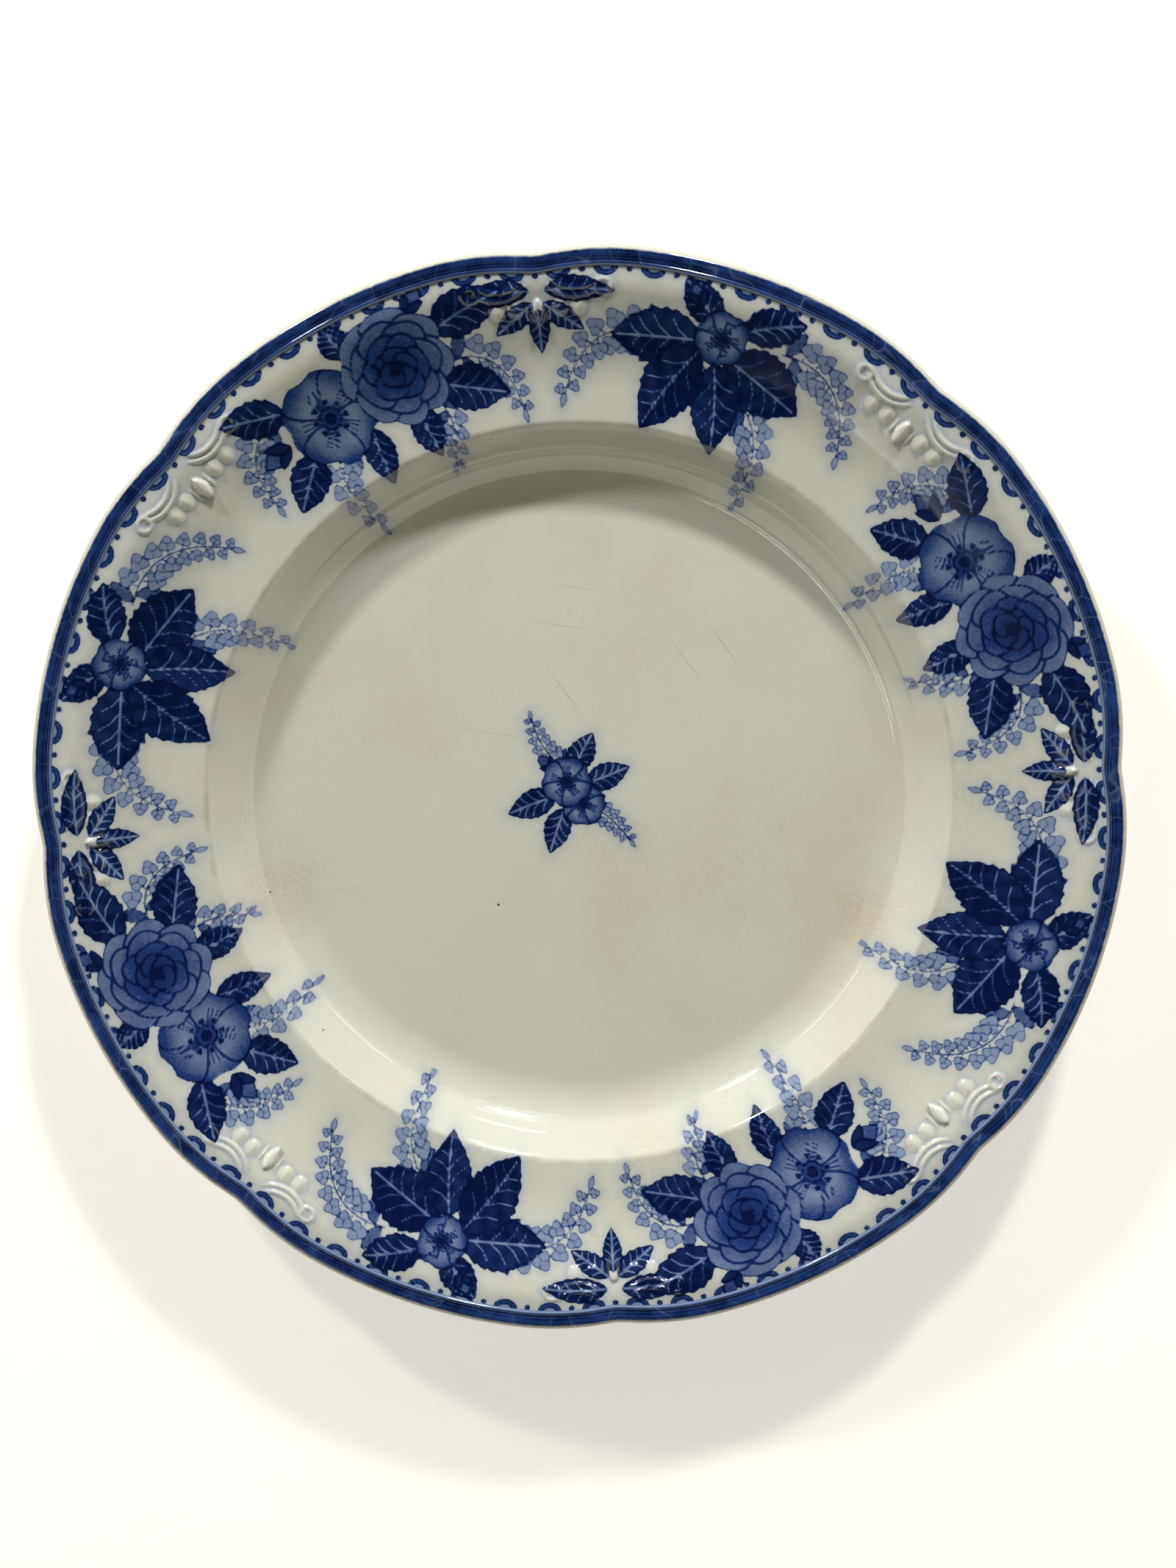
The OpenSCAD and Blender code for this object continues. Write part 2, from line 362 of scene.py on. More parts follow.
def meshFromRings(name, rings, poles, places):
    # joins each ring of points to the next, and the last to the first unless both are poles
    columns = grain["columns"]
    c, s = np.cos(np.radians(turns)), np.sin(np.radians(turns))
    here, after = np.arange(columns), np.arange(columns) + 1
    points, index = [], []
    for k, (r, z) in enumerate(rings):
        index.append(sum(map(len, points)) + here * (k not in poles))
        points.append([[0, 0, z[0]]] if k in poles else np.stack([r * c, r * s, z], 1))
    faces, spots = {4: [], 3: []}, {4: [], 3: []}
    for k in range(len(rings)):
        j = (k + 1) % len(rings)
        if k in poles and j in poles:
            continue
        corners = [(k, here), (j, here), (j, after), (k, after)]
        if k in poles:
            del corners[3]
        elif j in poles:
            del corners[2]
        size = len(corners)
        faces[size].append(np.stack([index[ring][at % columns] for ring, at in corners], 1))
        uv = [places(k, ring, at, here, rings[ring][0][at % columns]) for ring, at in corners]
        uv = [np.stack(np.broadcast_arrays(u, v), 1) for u, v in uv]
        spots[size].append(np.stack(uv, 1))
    mesh = bpy.data.meshes.new(name)
    corners = [face for part in faces[4] + faces[3] for face in part.tolist()]
    mesh.from_pydata(np.concatenate(points) * mm, [], corners)
    mesh.shade_smooth()
    layer = mesh.uv_layers.new(name="OFBake")
    flat = np.concatenate([uv.reshape(-1, 2) for uv in spots[4] + spots[3]])
    layer.data.foreach_set("uv", flat.astype(np.float32).ravel())
    mesh.validate()
    mesh.set_sharp_from_angle(angle=math.radians(grain["sharp"]))
    return added(name, mesh)


front = faceRings()
back = backRings()
frontR = np.stack([r for r, z in front[1:]])
frontTurn = np.broadcast_to(turns, frontR.shape)
raised = np.zeros(frontR.shape)
onRim = frontR[:, 0] > shoulderRadius
raised[onRim] = relief(frontR[onRim], frontTurn[onRim])
front = [front[0]] + [
    (r - rise * math.sin(rimSlope), z + rise * math.cos(rimSlope))
    for (r, z), rise in zip(front[1:], raised)
]
poles = {0, len(front) + len(back) - 1}
body = meshFromRings("glazed_body", front + back, poles, discPlaces(len(front)))
bandSection, footSection = bandRings(), footRings()
band = meshFromRings("cobalt_edge_band", bandSection, set(), stripPlaces(len(bandSection)))
foot = meshFromRings("biscuit_foot_ring", footSection, set(), stripPlaces(len(footSection)))
print("meshes ready")


# The print is made as fields on the mesh's points, all in mm: how far inside the ink a point
# lies, how dark the ink is, and how far off the nearest dark line and the nearest pale vein are
far = 6.0


def freshInk(u, v):
    flat = np.full(u.shape, far)
    tone = np.zeros(u.shape)
    return {"u": u, "v": v, "edge": -flat, "tone": tone, "line": flat.copy(), "vein": flat.copy()}


def near(ink, outline, margin=4.0):
    # which points are close enough to an outline to be touched by it, and their places
    low, high = outline.min(0) - margin, outline.max(0) + margin
    u, v = ink["u"], ink["v"]
    where = np.nonzero((u > low[0]) & (u < high[0]) & (v > low[1]) & (v < high[1]))
    return where, np.stack([u[where], v[where]], 1)


def pathDistance(p, path):
    nearest = np.full(len(p), 1e3)
    for a, b in zip(path, path[1:]):
        along = b - a
        part = np.clip(((p - a) @ along) / max(along @ along, 1e-9), 0, 1)
        off = np.hypot(p[:, 0] - a[0] - part * along[0], p[:, 1] - a[1] - part * along[1])
        np.minimum(nearest, off, out=nearest)
    return nearest


def insideDistance(p, outline):
    # distance from a closed outline, positive inside it
    nearest = pathDistance(p, np.vstack([outline, outline[:1]]))
    inside = np.zeros(len(p), bool)
    for a, b in zip(outline, np.roll(outline, -1, 0)):
        if a[1] == b[1]:
            continue
        crosses = (a[1] > p[:, 1]) != (b[1] > p[:, 1])
        inside ^= crosses & (p[:, 0] < (b[0] - a[0]) * (p[:, 1] - a[1]) / (b[1] - a[1]) + a[0])
    return np.where(inside, nearest, -nearest)


def stamp(ink, outline, tone, lined=True):
    # lays a shape over what is there; tone is a number or a function of the shape's points
    where, p = near(ink, outline)
    d = insideDistance(p, outline)
    inside = d > 0
    tone, line = tone(p) if callable(tone) else tone, np.abs(d) if lined else far
    for field, value in (("tone", tone), ("vein", far), ("line", line)):
        ink[field][where] = np.where(inside, value, ink[field][where])
    if lined:
        ink["line"][where] = np.minimum(ink["line"][where], np.abs(d))
    ink["edge"][where] = np.maximum(ink["edge"][where], d)


def stroke(ink, path, width, tone):
    # a stem: a line of ink
    path = np.asarray(path, float)
    where, p = near(ink, path)
    d = width / 2 - pathDistance(p, path)
    inside = d > 0
    ink["tone"][where] = np.where(inside & (ink["edge"][where] < 0), tone, ink["tone"][where])
    ink["edge"][where] = np.maximum(ink["edge"][where], d)


def score(ink, field, path, half):
    # a dark line or a pale vein inside the ink
    path = np.asarray(path, float)
    where, p = near(ink, path, 2.0)
    ink[field][where] = np.minimum(ink[field][where], pathDistance(p, path) - half)


def turned(points, at, angle):
    # points of a shape that lies along +X, turned by angle in degrees and moved to its place
    c, s = math.cos(math.radians(angle)), math.sin(math.radians(angle))
    x, y = np.asarray(points, float).T
    return np.stack([at[0] + c * x - s * y, at[1] + s * x + c * y], 1)


def bladeOutline(length, width, bend=0.0, fullest=0.9, teeth=0):
    # a leaf's or petal's outline from its stalk to its tip
    t = np.linspace(0, 1, 25 if not teeth else 4 * teeth + 1)
    half = width / 2 * np.sin(math.pi * t**fullest) ** 0.85
    if teeth:
        bite = 0.07
        half = half * (1 - bite + 2 * bite * ((t * teeth) % 1))
    middle = bend * length * t**2
    upper = np.stack([length * t, middle + half], 1)
    lower = np.stack([length * t, middle - half], 1)
    return np.vstack([upper, lower[-2:0:-1]])


def leaf(ink, at, angle, length, width, bend=0.0, tone=0.95, teeth=7):
    # a dark leaf with a pale midrib and side veins
    def shade(p):
        back = turned(p - np.array(at), (0, 0), -angle)
        lit = np.sin(back[:, 0] * 1.1 + np.abs(back[:, 1]) * 0.9) * 0.06
        return tone - 0.1 * (back[:, 1] > bend * back[:, 0] ** 2 / length) + lit

    stamp(ink, turned(bladeOutline(length, width, bend, 0.82, teeth), at, angle), shade)
    t = np.linspace(0, 0.93, 9)
    rib = np.stack([length * t, bend * length * t**2], 1)
    score(ink, "vein", turned(rib, at, angle), 0.14)
    for part in (0.16, 0.34, 0.52, 0.68):
        for side in (-1, 1):
            base = np.array([length * part, bend * length * part**2])
            reach = width * 0.36 * math.sin(math.pi * min(1, part + 0.16)) + 0.3
            tip = base + np.array([reach * 0.85, side * reach])
            middle = (base + tip) / 2 + np.array([0.12 * reach, -side * 0.06 * reach])
            score(ink, "vein", turned([base, middle, tip], at, angle), 0.03)


def roundOutline(radius, waves=0, depth=0.0, phase=0.0, squash=1.0):
    a = np.linspace(0, 2 * math.pi, 28 if waves else 20, endpoint=False)
    r = radius * (1 + depth * np.cos(waves * a + phase))
    return np.stack([r * np.cos(a), squash * r * np.sin(a)], 1)


def fullBloom(ink, at, radius, turn):
    # rings of rounded petals, each ring laid over the wider one, as on a camellia
    for count, out, size, dark, skew in (
        (8, 0.66, 0.37, 0.32, 0),
        (7, 0.48, 0.33, 0.38, 20),
        (6, 0.31, 0.27, 0.48, 5),
        (5, 0.16, 0.2, 0.6, 30),
    ):
        for k in range(count):
            angle = turn + skew + k * 360 / count
            middle = turned([(out * radius, 0)], at, angle)[0]

            def shade(p, inner=out - size, outer=out + size, dark=dark):
                reach = np.hypot(p[:, 0] - at[0], p[:, 1] - at[1]) / radius
                return np.clip(dark + 0.5 * (1 - (reach - inner) / (outer - inner)) ** 2, 0, 1)

            outline = turned(roundOutline(size * radius, 3, 0.07, angle, 1.12), middle, angle)
            stamp(ink, outline, shade)
            for fan in (-18, 0, 18):
                start = turned([(-0.35 * size * radius, 0)], middle, angle)[0]
                end = turned([(0.45 * size * radius, 0)], start, angle + fan)[0]
                score(ink, "line", [start, end], -0.12)
    stamp(ink, roundOutline(0.1 * radius) + np.array(at), 0.95)


def openBloom(ink, at, radius, turn):
    # an open flower of five notched petals round a dark eye with a ring of dots
    def shade(p):
        reach = np.hypot(p[:, 0] - at[0], p[:, 1] - at[1]) / radius
        outer, inner = np.clip(reach - 0.45, 0, 1) ** 1.3, np.clip(0.42 - reach, 0, 1)
        return np.clip(0.24 + 0.75 * outer + 0.9 * inner, 0, 1)

    t = np.linspace(0, 1, 22)
    half = 2.25 * radius * math.sin(math.pi / 5) / 2 * np.sin(math.pi * t**1.5) ** 0.6
    upper = np.stack([radius * t, half], 1)
    lower = np.stack([radius * t, -half], 1)
    petal = np.vstack([upper[:-1], [[radius * 0.9, 0.0]], lower[-2:0:-1]])
    for k in range(5):
        angle = turn + k * 72
        stamp(ink, turned(petal, at, angle), shade)
        for fan in (-16, -6, 6, 16):
            start = turned([(0.28 * radius, 0)], at, angle + fan)[0]
            end = turned([(0.62 * radius, 0)], at, angle + fan * 0.9)[0]
            score(ink, "line", [start, end], -0.1)
    stamp(ink, roundOutline(0.22 * radius, 9, 0.1) + np.array(at), 0.55)
    for k in range(8):
        spot = turned([(0.34 * radius, 0)], at, turn + k * 45)[0]
        stamp(ink, roundOutline(0.055 * radius) + spot, 0.95, lined=False)
    stamp(ink, roundOutline(0.1 * radius) + np.array(at), 0.95)


def bud(ink, at, angle, length):
    # a closed bud in its green
    stamp(ink, turned(bladeOutline(length, length * 0.62, 0, 0.8), at, angle), 0.45)
    for side in (-1, 1):
        sepal = bladeOutline(length * 0.75, length * 0.3, side * 0.12)
        stamp(ink, turned(sepal, at, angle + side * 20), 0.85)


def spray(ink, start, bend, end, size=1.35):
    # a pale raceme along a curve: three-petalled florets on short stalks to both sides
    t = np.linspace(0, 1, 14)[:, None]
    path = (1 - t) ** 2 * np.array(start) + 2 * t * (1 - t) * np.array(bend) + t**2 * np.array(end)
    lengths = np.concatenate([[0], np.cumsum(np.hypot(*np.diff(path, axis=0).T))])
    tone = 0.12
    stroke(ink, path, 0.5, 0.4)
    count = int(lengths[-1] / (1.25 * size))
    for k in range(count):
        at = (k + 0.5) / count * lengths[-1] + np.array([-0.2, 0.2])
        p, q = np.stack([np.interp(at, lengths, path[:, i]) for i in (0, 1)], 1)
        way = math.degrees(math.atan2(q[1] - p[1], q[0] - p[0]))
        scale = size * (1.15 - 0.6 * k / count)  # smaller towards the tip
        out = way + (62 if k % 2 else -62)
        if k < 2:
            stamp(ink, turned(bladeOutline(4.4 * scale, 2.2 * scale), p, out), tone + 0.3)
            continue
        spot = turned([(2.2 * scale, 0)], p, out)[0]
        stroke(ink, [p, spot], 0.4, 0.4)
        stamp(ink, turned(roundOutline(1.5 * scale, 3, 0.17), spot, out), tone)
        for fan in (-60, 60, 180):
            tip = turned([(1.1 * scale, 0)], spot, out + fan)[0]
            score(ink, "line", [spot, tip], -0.12)
    stamp(ink, turned(bladeOutline(2.6 * size, 1.3 * size), path[-1], way), tone)


def alongRim(turn, middle):
    # mm along the rim from a motif's middle
    return np.radians((turn - middle + pitch) % (2 * pitch) - pitch) * printLine


def bouquet(ink):
    # on every second lobe: a full bloom and an open one among leaves and buds
    spray(ink, (-20, -2), (-32, -1), (-35, -16))
    spray(ink, (13, -8), (22, -14), (19, -28), 1.5)
    spray(ink, (24, 4), (35, 4), (37, -10), 1.3)
    spray(ink, (-14, -10), (-17, -18), (-12, -24), 1.2)
    for row in (  # place, angle, length, width and bend
        ((-17, 5), 158, 18, 10.5, 0.06),
        ((-15, -6), 203, 18, 11, -0.08),
        ((-7, -9), 256, 13, 9, 0.08),
        ((5, -9), 284, 14, 9, -0.06),
        ((2, 7), 74, 9, 7, 0.05),
        ((20, 4), 24, 15, 9, 0.06),
        ((20, -7), 326, 16, 10, 0.05),
    ):
        leaf(ink, *row)
    bud(ink, (-13, 10), 128, 7)
    bud(ink, (24, -2), 356, 8.5)
    openBloom(ink, (12.5, -2.5), 11.2, 12)
    fullBloom(ink, (-7, 0.5), 13, 8)


def leafCluster(ink):
    # on the lobes between: large dark leaves round a small flower
    spray(ink, (-8, -8), (-20, -13), (-20, -29), 1.5)
    spray(ink, (12, 0), (30, 6), (36, -13), 1.5)
    spray(ink, (-14, 5), (-29, 8), (-37, -8), 1.35)
    for row in (  # and how dark, and how many teeth
        ((2, 6), 48, 12, 8, -0.06, 0.98, 7),
        ((-4, 6), 146, 14, 9, 0.08, 0.98, 7),
        ((4, 2), 352, 21, 13, 0.06, 0.9, 9),
        ((-2, 0), 198, 22, 14.5, -0.06, 0.98, 9),
        ((0, -2), 248, 21, 13, 0.06, 0.9, 9),
        ((4, 0), 302, 23, 15, -0.05, 0.98, 9),
    ):
        leaf(ink, *row)
    openBloom(ink, (0, 3.5), 6.2, 30)
    bud(ink, (6, 9), 60, 5.5)


def notchFan(ink):
    # behind every second ornament: a fan of narrow leaves along the scrolls
    for side in (-1, 1):
        leaf(ink, (side * 1.5, 9.5), 90 - side * 84, 15, 6, -side * 0.1, 0.92, 6)
        leaf(ink, (side * 1.0, 7), 90 - side * 128, 11, 5.4, side * 0.08, 0.86, 5)
    leaf(ink, (0, 6), 270, 10, 5, 0, 0.92, 5)


def lace(ink):
    # low half rounds that hang from the edge band, with a bead between each two
    spacing = math.radians(pitch) * printLine / 9
    for k in range(-4, 5):
        stamp(ink, roundOutline(2.6, squash=0.8) + np.array([k * spacing, 0]), 0.5)
        stamp(ink, roundOutline(1.5, squash=0.7) + np.array([k * spacing, 0.2]), 0.08)
        stamp(ink, roundOutline(0.7) + np.array([(k + 0.5) * spacing, -0.5]), 0.6)


def posy(ink):
    # the small posy in the middle of the well
    spray(ink, (-1, 5), (-7, 9), (-9, 17), 0.95)
    spray(ink, (4, -4), (10, -6), (15, -13), 0.95)
    for row in (
        ((-3, -2), 196, 13, 7.5, 0.08, 0.95),
        ((1, 4), 66, 11, 7, -0.06, 0.9),
        ((-1, -5), 248, 12, 7, 0.06, 0.9),
        ((4, 1), 18, 12, 7, 0.06, 0.95),
    ):
        leaf(ink, *row, 6)
    bud(ink, (-3, 4), 140, 6)
    openBloom(ink, (3.5, -4), 5.6, 50)
    openBloom(ink, (-0.5, 1.5), 6.4, 20)


printLine = 110.0  # radius of the print's middle line
posyAt = (-2.6, 1.8)
fields = {"edge": -far, "tone": 0.0, "line": far, "vein": far}  # each with its value off the print


def printedFace():
    # the ink on the face's grid: two lobes' worth of rim, repeated round, and the posy
    ink = {name: np.full(frontR.shape, bare) for name, bare in fields.items()}
    rows = np.nonzero(frontR[:, 0] > grain["printFrom"])[0]
    columns = 2 * perLobe
    r, turn = frontR[rows][:, :columns], frontTurn[rows][:, :columns]
    made = freshInk(r, r)
    for draw, middle, out in (
        (lace, pitch / 2, r - seat[:columns]),
        (lace, 1.5 * pitch, r - seat[:columns]),
        (notchFan, 0, r - printLine),
        (leafCluster, 1.5 * pitch + 1, r - printLine),
        (bouquet, pitch / 2 - 1, r - printLine),
    ):
        made["u"], made["v"] = alongRim(turn, middle), out
        draw(made)
    for name in fields:
        ink[name][rows] = np.tile(made[name], plate["lobes"] // 2)
    rows = np.nonzero(frontR[:, 0] < grain["posyRadius"])[0]
    angle = np.radians(frontTurn[rows] + 4)
    x, y = frontR[rows] * np.cos(angle), frontR[rows] * np.sin(angle)
    made = freshInk(x - posyAt[0], y - posyAt[1])
    posy(made)
    for name in fields:
        ink[name][rows] = made[name]
    return ink


ink = printedFace()
print("print drawn")


def giveField(name, grid, rest=0.0):
    # a field of the face's grid as an attribute of the body: the pole first, then the rings
    values = np.full(len(body.data.vertices), rest, np.float32)
    values[1 : 1 + grid.size] = grid.ravel()
    values[0] = grid[0].mean()
    body.data.attributes.new(name, "FLOAT", "POINT").data.foreach_set("value", values)


for name, rest in fields.items():
    giveField("ink_" + name, ink[name], rest)
giveField("raised", raised)


def pooledGlazeAndShade():
    # how much glaze has run off the moulding and stands beside it, 0 to 1, with painted shade there
    # too
    bumpy = (raised > 0.05).astype(float)
    around, reach = bumpy.copy(), grain["poolShadeReach"]
    for axis in (0, 1):
        around = sum(np.roll(around, k, axis) for k in range(-reach, reach + 1)) / (2 * reach + 1)
    return np.clip(2.2 * around * (1 - bumpy), 0, 1)


# glaze pooled beside the moulding, with painted shade at its foot
giveField("pooledAndShade", pooledGlazeAndShade())

# How far each point of the band lies across its section, outward and then on under the lip
across = np.stack([r - seat for r, z in bandSection])
top = np.argmax(across[:, 0])
across[top:] = 2 * plate["edgeWidth"] - across[top:]
made = band.data.attributes.new("across", "FLOAT", "POINT")
made.data.foreach_set("value", across.astype(np.float32).ravel())

# The camera stands where the photograph was taken from: above the plate, a little past its middle
view = {
    "eye": Vector((18.74, 64.47, 473.73)) * mm,
    "aim": Vector((2.15, 1.82, 0)) * mm,
    "roll": math.radians(4.4),
    "lens": 43.88,
    "sensor": 36,
}


def placed(at, side, up, out):
    # the matrix of a thing that stands at a place and looks along -out
    return Matrix.Translation(at) @ Matrix((side, up, out)).transposed().to_4x4()


cameraData = bpy.data.cameras.new("camera")
cameraData.lens, cameraData.sensor_width = view["lens"], view["sensor"]
cameraData.sensor_fit = "AUTO"
camera = added("camera", cameraData)
toEye = (view["eye"] - view["aim"]).normalized()
side = Vector((math.sin(view["roll"]), math.cos(view["roll"]), 0)).cross(toEye).normalized()
camera.matrix_world = placed(view["eye"], side, toEye.cross(side), toEye)
bpy.context.scene.camera = camera

# Points of the photograph, in a frame of 1176 by 1568, as x and y; a None isn't measured
imagePoints = {
    "edgeLeft": (30, None),
    "edgeRight": (1128, None),
    "edgeTop": (None, 241),
    "edgeBottom": (None, 1331),
    "creaseLeft": (209, None),
    "creaseRight": (949, None),
    "creaseTop": (None, 425),
    "creaseBottom": (None, 1160),
    "notchBottom": (617, 1322),
    "stainLeft": (283, 890),
    "stainRight": (862, 915),
    "scratches": (655, 735),
}
imageWidth, imageHeight = 1176, 1568
longSide = max(imageWidth, imageHeight)


def allPoints(piece):
    places = np.empty(len(piece.data.vertices) * 3)
    piece.data.vertices.foreach_get("co", places)
    return places.reshape(-1, 3)


faces = [p.vertices[:] for p in body.data.polygons]
faceTree = BVHTree.FromPolygons(allPoints(body).tolist(), faces)


def placeAt(name):
    # the place on the face that shows at an image point
    x, y = imagePoints[name]
    data = camera.data
    way = Vector((
        x - imageWidth / 2 + data.shift_x * longSide,
        imageHeight / 2 - y + data.shift_y * longSide,
        -longSide * data.lens / data.sensor_width,
    ))
    eye = camera.matrix_world.translation
    way = (camera.matrix_world.to_3x3() @ way).normalized()
    hit = faceTree.ray_cast(eye, way)[0]
    return hit if hit is not None else faceTree.find_nearest(eye + way * eye.length)[0]


def shownAt(points):
    # where points in metres show in the image
    inverse = np.array(camera.matrix_world.inverted())
    seen = points @ inverse[:3, :3].T + inverse[:3, 3]
    reach = longSide * camera.data.lens / camera.data.sensor_width / -seen[:, 2]
    x = imageWidth / 2 - camera.data.shift_x * longSide + seen[:, 0] * reach
    y = imageHeight / 2 + camera.data.shift_y * longSide - seen[:, 1] * reach
    return np.stack([x, y], 1)


print("camera set")


def linear(code):
    # an sRGB hex colour as the linear colour that Blender's sockets take
    parts = [int(code[i : i + 2], 16) / 255 for i in (0, 2, 4)]
    return (*(c / 12.92 if c <= 0.04045 else ((c + 0.055) / 1.055) ** 2.4 for c in parts), 1)


# Settings that many nodes share
times, timesPlus = {"operation": "MULTIPLY"}, {"operation": "MULTIPLY_ADD"}
smooth = {"interpolation_type": "SMOOTHSTEP"}


def addNode(tree, kind, values=(), output=0, **settings):
    # adds a node with its settings, gives its inputs their numbers or links, returns an output
    made = tree.nodes.new("ShaderNode" + kind)
    for key, value in settings.items():
        setattr(made, key, value)
    for key, value in values.items() if isinstance(values, dict) else enumerate(values):
        if isinstance(value, bpy.types.NodeSocket):
            tree.links.new(value, made.inputs[key])
        else:
            made.inputs[key].default_value = value
    return made.outputs[output] if made.outputs else made


def perMetre(size):
    # a pattern's scale from its size in mm
    return 1000 / size


def newMaterial(name, patterns):
    # a material, what adds nodes to it, the place on the piece, and a noise for each pattern
    made = bpy.data.materials.new(name)
    made.use_nodes = True
    made.node_tree.nodes.clear()
    node = functools.partial(addNode, made.node_tree)
    place = node("TexCoord", (), "Object")
    noise = {}
    for key, (size, detail, rough) in patterns.items():
        values = {"Vector": place, "Scale": perMetre(size), "Detail": detail, "Roughness": rough}
        noise[key] = node("TexNoise", values)
    return made, node, place, noise


# Glazed earthenware, transfer printed in cobalt under a clear lead glaze: the eye sees a warm
# ivory gloss, flat dark blue with pale veins, and a blue haze where the colour ran in the kiln
glaze = {
    "ivory": "cfcfc2",
    "warm": "cabf9f",
    "cool": "ccd1c8",
    "thin": "dadcd0",  # over the moulding, where the glaze runs thin
    "poolAndShade": "93a5c2",  # beside it, where it stands thick and takes the blue, and painted shade at the moulding's foot
    "deep": "06133d",
    "middle": "1d3870",
    "pale": "8494b0",
    "haze": "7386aa",
    "stain": "b4935c",
    "dirt": "7d6a4c",
    "speck": "4a3b2b",
    # lengths in mm
    "bleed": (-0.12, 0.16),  # across the ink's edge, to its full strength
    "drawn": (0.1, 0.42),  # from a drawn line, where it is full and where it ends
    "veined": (0.0, 0.36),  # the same from a pale vein
    "hazeReach": 1.5,
    "crazeCell": 2.6,
    "speckSpacing": 11.0,
    "scratch": (240, 5),  # the room a scratch has along and across
    "scratchTurns": (12, 58, -37),  # degrees
    "creaseBandReach": 1.2,  # to both sides of the crease
    "rough": 0.07,
    "ior": 1.5,
    "patterns": {  # size in mm, detail and roughness
        "warmth": (45, 4, 0.6),
        "crazed": (30, 2, 0.5),
        "darkBrown": (12, 4, 0.7),
        "inkClouds": (7, 3, 0.6),
        "paperGrain": (0.6, 2, 0.5),  # the transfer paper's, coarser than it is so that it shows
        "tremble": (1.1, 2, 0.5),  # how the ink's edge wanders
        "ragged": (7, 3, 0.65),
        "mottle": (0.9, 2, 0.5),
        "gloss": (18, 3, 0.5),
        "waves": (16, 2, 0.5),
        "peel": (1.4, 1, 0.5),
    },
}
# The stains at the foot of the wall, and how far each reaches in metres
stains = {"stainLeft": 0.017, "stainRight": 0.013}


def inkColor(node, noise, tone, line, vein):
    # the ink is darker at drawn lines, paler at veins, and uneven as a paper transfer leaves it
    drawn = node("MapRange", (line, *glaze["drawn"], 1, 0), **smooth)
    strength = node("Math", (tone, 0.35, 0.3), **timesPlus)
    pale = node("MapRange", (vein, *glaze["veined"], 0.6, 0), **smooth)
    dark = node("Math", (noise["inkClouds"], 0.32, tone), **timesPlus)
    dark = node("Math", (noise["paperGrain"], 0.2, dark), **timesPlus)
    dark = node("Math", (dark, 0.26), operation="SUBTRACT")
    dark = node("Math", (drawn, strength, dark), use_clamp=True, **timesPlus)
    dark = node("Math", (dark, pale), operation="SUBTRACT", use_clamp=True)
    color = node("ValToRGB", (dark,))
    ramp = color.node.color_ramp
    ramp.elements[0].position, ramp.elements[0].color = 0.08, linear(glaze["pale"])
    ramp.elements[1].position, ramp.elements[1].color = 0.95, linear(glaze["deep"])
    ramp.elements.new(0.5).color = linear(glaze["middle"])
    return color


def hairScratches(node, place):
    # knife scratches round the middle of the well: long thin ellipses in three directions
    middle = tuple(placeAt("scratches"))
    away = node("VectorMath", (place, middle), "Value", operation="DISTANCE")
    worn = node("MapRange", (away, 0.02, 0.065, 1, 0), **smooth)
    marks = 0.0
    for turn in glaze["scratchTurns"]:
        laid = node("VectorRotate", {"Vector": place, "Angle": math.radians(turn)})
        laid = node("VectorMath", (laid, (*map(perMetre, glaze["scratch"]), 0)), **times)
        away = node("TexVoronoi", {"Vector": laid, "Scale": 1}, "Distance", voronoi_dimensions="2D")
        which = node("SeparateColor", (away.node.outputs["Color"],))
        kept = node("Math", (which, 0.45), operation="GREATER_THAN")
        mark = node("MapRange", (away, 0.012, 0.04, 1, 0), **smooth)
        mark = node("Math", (mark, kept), **times)
        marks = node("Math", (mark, marks), operation="MAXIMUM")
    return node("Math", (marks, worn), **times)


def teaStains(node, place, noise):
    # mottled where tea has gone under the glaze
    stained = 0.0
    for name, reach in stains.items():
        middle = tuple(placeAt(name))
        away = node("VectorMath", (place, middle), "Value", operation="DISTANCE")
        away = node("Math", (noise["ragged"], -0.02, away), **timesPlus)
        stain = node("MapRange", (away, -0.01, reach - 0.01, 1, 0), **smooth)
        stained = node("Math", (stain, stained), operation="MAXIMUM")
    mottle = node("MapRange", (noise["mottle"], 0.4, 0.65, 0.12, 0.34))
    return node("Math", (stained, mottle), **times)


